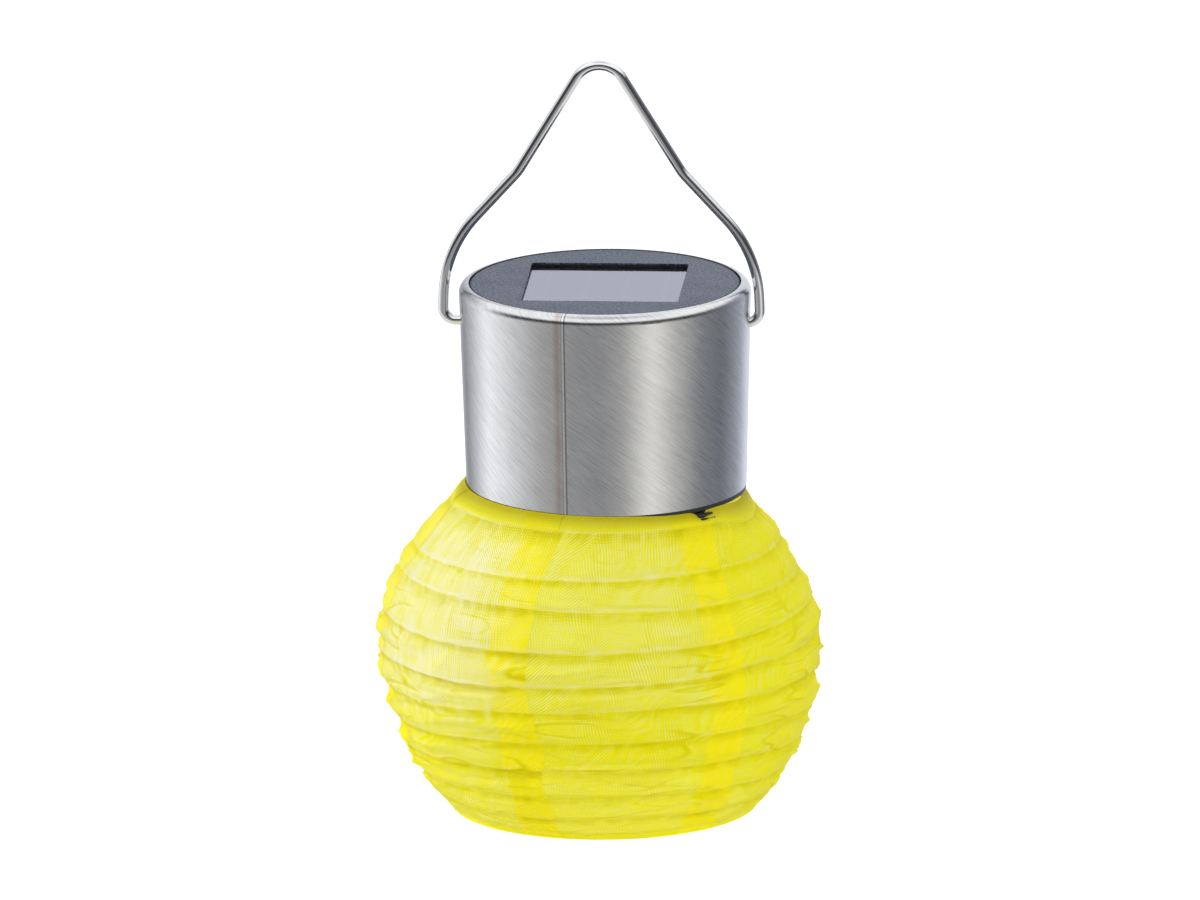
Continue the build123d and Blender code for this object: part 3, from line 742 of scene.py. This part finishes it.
def gore_sheet(index, material):
    """One gore of cloth, which laps over its neighbour on its right edge."""
    rows = [band + step for band in range(len(SHADE_LINES) - 1) for step in ROW_STEPS]
    rows.append(len(SHADE_LINES) - 1.0001)
    verts, cut, lines, overlap = [], [], [], []
    middle = SEAM_AZIMUTHS[index] + GORE_TURN / 2
    length = 0.0
    before = shade_point(middle, rows[0])
    for place in rows:
        flat_radius, flat_height = shade_point(middle, place)
        length += math.hypot(flat_radius - before[0], flat_height - before[1])
        before = (flat_radius, flat_height)
        per_mm = math.degrees(1 / flat_radius)
        start, end, left_end, right_start = gore_edges(index, place, per_mm)
        for column in range(GORE_COLUMNS + 1):
            share = column / GORE_COLUMNS
            azimuth = start + (end - start) * share
            verts.append(cloth_point(azimuth, place, share))
            cut.append(((azimuth - middle) / per_mm, length))
            lines.append((azimuth / 10, place))
            overlap.append((max(left_end - azimuth, azimuth - right_start) / per_mm, 0.0))
    faces = grid_faces(len(rows), GORE_COLUMNS + 1)
    obj = mesh_object(f"gore_sheet_{index + 1}", verts, faces, material)
    for name, spots in (("cut", cut), ("lines", lines), ("overlap", overlap)):
        layer = obj.data.uv_layers.new(name=name)
        for loop in obj.data.loops:
            layer.data[loop.index].uv = spots[loop.vertex_index]
    return obj


def ring_tube(name, points, radius, material):
    """A closed tube through points that go round the axis."""
    verts = []
    count = len(points)
    for i, point in enumerate(points):
        ahead = (points[(i + 1) % count] - points[i - 1]).normalized()
        out = Vector((point.x, point.y, 0)).normalized()
        up = ahead.cross(out).normalized()
        for k in range(RING_SIDES):
            angle = 2 * math.pi * k / RING_SIDES
            verts.append(point + (out * math.cos(angle) + up * math.sin(angle)) * radius)
    return mesh_object(name, verts, tube_faces(count, RING_SIDES), material)


def rib_ring(index, name, wire, material):
    """The wire inside one rib line; it follows the cloth that it holds out."""
    points = []
    for step in range(RING_POINTS):
        azimuth = step * 360 / RING_POINTS
        radius = line_radius(index, azimuth) - wire - WIRE_GAP
        angle = math.radians(azimuth)
        x = radius * math.sin(angle) - SHADE_LINES[index][2]
        y = -radius * math.cos(angle)
        points.append(Vector((x, y, line_height(index, azimuth))) * MM)
    return ring_tube(name, points, wire * MM, material)


def bottom_hem(material):
    """Cloth folded over the hoop, with a slight pucker at every stitch."""
    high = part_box("bottom_ring")[1]
    outer = high.x
    inner = outer - HOOP_WIDTH
    middle, half = (outer + inner) / 2, (outer - inner) / 2
    tall = high.z / 2
    verts = []
    count, sides = 240, 20
    for i in range(count):
        angle = 2 * math.pi * i / count
        pucker = 1 + 0.05 * math.sin(angle * HEM_PUCKERS)
        for k in range(sides):
            turn = 2 * math.pi * k / sides
            c, q = math.cos(turn), math.sin(turn)
            wide = math.copysign(abs(c) ** 0.5, c) * (half + HEM_CLOTH)
            up = math.copysign(abs(q) ** 0.5, q) * tall * (pucker if q > 0 else 1)
            radius = middle + wide
            x = radius * math.cos(angle) - SHADE_LINES[-1][2] * MM
            verts.append((x, radius * math.sin(angle), tall + up))
    faces = [(a, d, c, b) for a, b, c, d in tube_faces(count, sides)]
    return mesh_object("bottom_hem", verts, faces, material)


def build_shade():
    """The rings, the gores and the hem, each in place of its CAD node."""
    cloth = sheer_fabric()
    coated = moulded("ring_wire", (0.80, 0.76, 0.16), 0.4, 0.0006, 0.00002)
    neck = rib_ring(NECK_ROW, "neck_ring", NECK_WIRE, coated)
    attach(neck, "shade")
    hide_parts("top_ring")
    for index in RIB_ROWS:
        wire = rib_ring(index, f"rib_wire_{index - 1}", RIB_WIRE, coated)
        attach(wire, "shade")
        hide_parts(f"rib_ring_{index - 1}")
    for index in range(len(SEAM_AZIMUTHS)):
        sheet = gore_sheet(index, cloth)
        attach(sheet, "shade")
        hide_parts(f"shade_gore_{index + 1}")
    hem = bottom_hem(wrapped_hem())
    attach(hem, "shade")
    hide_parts("bottom_ring")


# ---------------------------------------------------------------- CAD nodes


def dress(node, material):
    """Give a CAD node its material."""
    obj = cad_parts[node]
    obj.data.materials.clear()
    obj.data.materials.append(material)


def dress_nodes():
    black = moulded("cup_plastic", (0.022, 0.022, 0.024), 0.42, 0.00025, 0.00002)
    screw = plain_metal("screw_steel", (0.55, 0.55, 0.56), 0.3)
    nickel = plain_metal("contact_nickel", (0.66, 0.65, 0.6), 0.25)
    laminate = moulded("board_laminate", (0.03, 0.20, 0.09), 0.35, 0.0004, 0.00001)
    red = moulded("lead_red", (0.5, 0.015, 0.012), 0.4, 0.0005, 0.00001)
    dark = moulded("lead_black", (0.015, 0.015, 0.016), 0.4, 0.0005, 0.00001)
    looks = {
        "cap_sleeve": brushed_sleeve(),
        "bail_wire": polished_wire(),
        "panel_bezel": bezel_plastic(),
        "bezel_gasket": moulded("gasket_rubber", (0.02, 0.02, 0.02), 0.7, 0.0004, 0.00002),
        "cell_window": clear_window(),
        "solar_cell": silicon_cell(),
        "solar_cell_board": laminate,
        "circuit_board": laminate,
        "inner_housing": black,
        "battery_door": black,
        "switch_slider": black,
        "shade_clips": black,
        "driver_chip": black,
        "battery": moulded("battery_sleeve", (0.05, 0.26, 0.11), 0.25, 0.001, 0.00001),
        "inductor": moulded("coil_resin", (0.12, 0.36, 0.26), 0.25, 0.0006, 0.00001),
        "led": lamp_resin(),
        "cell_lead_red": red,
        "battery_lead_red": red,
        "cell_lead_black": dark,
        "battery_lead_black": dark,
    }
    for node in ("cup_screws", "board_screws", "door_screws"):
        looks[node] = screw
    for node in ("battery_contact_plate", "battery_contact_spring", "led_leads", "switch_body"):
        looks[node] = nickel
    looks["switch_pins"] = nickel
    for node, material in looks.items():
        dress(node, material)


# ---------------------------------------------------------------- stage, light and camera


def make_floor():
    """The white table: it lights the object from below and hardly shows a shadow."""
    size = FLOOR_SIZE
    corners = [(-size, -size, 0), (size, -size, 0), (size, size, 0), (-size, size, 0)]
    s = Shader("floor")
    seen = s.add("ShaderNodeLightPath").outputs["Is Camera Ray"]
    matt = s.add("ShaderNodeBsdfDiffuse", {"Color": (0.25, 0.25, 0.25, 1)})
    strength = s.remap(seen, 0.0, 1.0, FLOOR_GLOW, FLOOR_SEEN)
    light = s.add("ShaderNodeEmission", {"Color": (1, 1, 1, 1), "Strength": strength})
    both = s.add("ShaderNodeAddShader", {0: matt.outputs[0], 1: light.outputs[0]})
    floor = mesh_object("floor", corners, [(0, 1, 2, 3)], s.finish(both.outputs[0]), smooth=False)
    floor.location.z = -FLOOR_DROP
    floor.visible_glossy = False


def make_world():
    """White behind the object, soft light all round, and light and dark panels to be reflected."""
    world = bpy.data.worlds.new("studio")
    bpy.context.scene.world = world
    s = Shader("studio", world)
    way = s.add("ShaderNodeTexCoord").outputs["Generated"]
    x, y, z = s.split(way)
    turn = s.math("ARCTAN2", x, s.times(y, -1))
    share = s.plus(s.times(turn, 0.5 / math.pi), 0.5)
    ramp = s.add("ShaderNodeValToRGB", {0: share})
    band = ramp.color_ramp
    while len(band.elements) < len(STUDIO_PANELS):
        band.elements.new(0.5)
    for element, (angle, level, blue) in zip(band.elements, STUDIO_PANELS):
        element.position = (angle + 180) / 360
        element.color = (level * (1 - 0.4 * blue), level, level * (1 + blue), 1)
    # In front and above the table it is dark; a bright panel hangs overhead.
    front = s.remap(y, 0.35, -0.25, 0.0, 1.0)
    dark = s.times(s.remap(z, -0.12, 0.04, 0.0, 0.93), front)
    ground = s.blend(dark, ramp.outputs[0], (0.02, 0.02, 0.025))
    # Far down, shiny things mirror the white table.
    table = s.remap(z, -0.40, -0.62, 0.0, 1.0)
    ground = s.blend(table, ground, (0.92, 0.92, 0.92))
    above = s.remap(z, 0.36, 0.6, 0.0, 1.0)
    overhead = s.blend(s.remap(z, 0.9, 0.99, 0.0, 1.0), (1.25, 1.27, 1.3), (0.7, 0.72, 0.76))
    mirrored = s.blend(above, ground, overhead)
    paths = s.add("ShaderNodeLightPath").outputs
    white = s.add("ShaderNodeBackground", {"Color": (1, 1, 1, 1), "Strength": 1.0})
    gloss = s.add("ShaderNodeBackground", {"Color": mirrored, "Strength": 1.0})
    soft = s.add("ShaderNodeBackground", {"Color": (0.98, 1, 1.02, 1), "Strength": SOFT_LIGHT})
    lit = soft.outputs[0]
    for ray, seen in (("Is Glossy Ray", gloss), ("Is Camera Ray", white)):
        lit = s.add("ShaderNodeMixShader", {0: paths[ray], 1: lit, 2: seen.outputs[0]}).outputs[0]
    s.finish(lit, "ShaderNodeOutputWorld")


def direction(azimuth, elevation):
    """The way out from the axis, from angles in degrees."""
    a, e = math.radians(azimuth), math.radians(elevation)
    return Vector((math.sin(a) * math.cos(e), -math.cos(a) * math.cos(e), math.sin(e)))


def soft_lamp(name, azimuth, elevation, distance, size, power):
    """A round lamp that faces the middle of the lantern and is not mirrored in it."""
    data = bpy.data.lights.new(name, "AREA")
    data.shape = "DISK"
    data.size = size
    data.energy = power
    light = bpy.data.objects.new(name, data)
    way = direction(azimuth, elevation)
    light.location = Vector((0, 0, 0.07)) + way * distance
    light.rotation_mode = "QUATERNION"
    light.rotation_quaternion = way.to_track_quat("Z", "Y")
    light.visible_glossy = False
    bpy.context.scene.collection.objects.link(light)


def make_camera():
    """A long lens, slightly above and slightly rolled."""
    data = bpy.data.cameras.new("camera")
    data.lens = CAMERA_LENS
    data.sensor_width = 36
    data.clip_start = 0.1
    data.clip_end = 20
    camera = bpy.data.objects.new("camera", data)
    bpy.context.scene.collection.objects.link(camera)
    back = direction(CAMERA_AZIMUTH, CAMERA_ELEVATION)
    right = direction(CAMERA_AZIMUTH + 90, 0)
    aim = Vector((0, 0, AIM_HEIGHT)) - right * AIM_ASIDE
    camera.location = aim + back * CAMERA_DISTANCE
    camera.rotation_mode = "QUATERNION"
    look = (-back).to_track_quat("-Z", "Y")
    roll = Matrix.Rotation(math.radians(-CAMERA_ROLL), 4, back).to_quaternion()
    camera.rotation_quaternion = roll @ look
    bpy.context.scene.camera = camera


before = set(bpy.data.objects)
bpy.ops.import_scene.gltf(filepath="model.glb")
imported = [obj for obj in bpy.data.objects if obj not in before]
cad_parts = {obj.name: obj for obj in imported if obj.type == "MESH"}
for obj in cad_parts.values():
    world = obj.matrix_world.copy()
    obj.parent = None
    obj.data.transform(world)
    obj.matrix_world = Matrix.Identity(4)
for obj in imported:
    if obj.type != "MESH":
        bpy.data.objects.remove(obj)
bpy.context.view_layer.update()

make_camera()
make_world()
make_floor()
soft_lamp("key", -95, 20, 1.2, 0.5, 7.0)
soft_lamp("fill", 45, 18, 1.4, 0.5, 3.0)
bpy.context.scene.view_settings.view_transform = "Standard"

dress_nodes()
build_shade()
